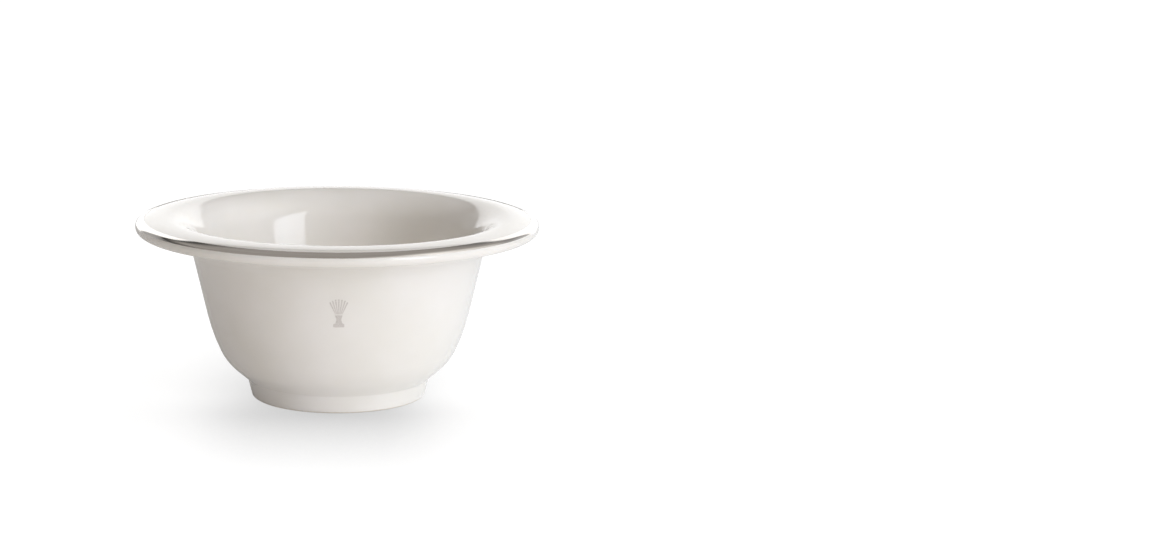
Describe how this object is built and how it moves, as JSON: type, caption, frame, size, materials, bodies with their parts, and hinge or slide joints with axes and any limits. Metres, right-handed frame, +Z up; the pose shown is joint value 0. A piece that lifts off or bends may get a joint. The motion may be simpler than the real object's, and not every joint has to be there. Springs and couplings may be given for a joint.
{
  "type": "shaving bowl",
  "caption": "Round porcelain shaving bowl with a wide rolled lip, metal lustre rim band and foot ring, holding a loose round soap puck that lifts out.",
  "frame": {"origin": "centre of the foot ring's standing face", "axes": "+Z up along the bowl's axis of turning; the printed mark is on the -Y side, which is the front"},
  "size_m": [0.13, 0.13, 0.0592],
  "materials": {
    "porcelain": "clear gloss glaze over white porcelain, bare and matt on the foot ring's standing face",
    "lustre": "fired-on mirror platinum lustre, slightly uneven at its brushed edges",
    "print": "warm grey overglaze print with a satin surface",
    "soap": "off-white pressed shaving soap, waxy and softly satin"
  },
  "bodies": {
    "bowl": {"porcelain_bowl": "porcelain", "platinum_band": "lustre", "front_mark": "print"},
    "soap": {"soap_puck": "soap"}
  },
  "joints": [
    {"name": "soap_lift", "type": "slide", "parent": "bowl", "child": "soap", "axis": [0, 0, 1], "range_m": [0, 0.09]}
  ]
}
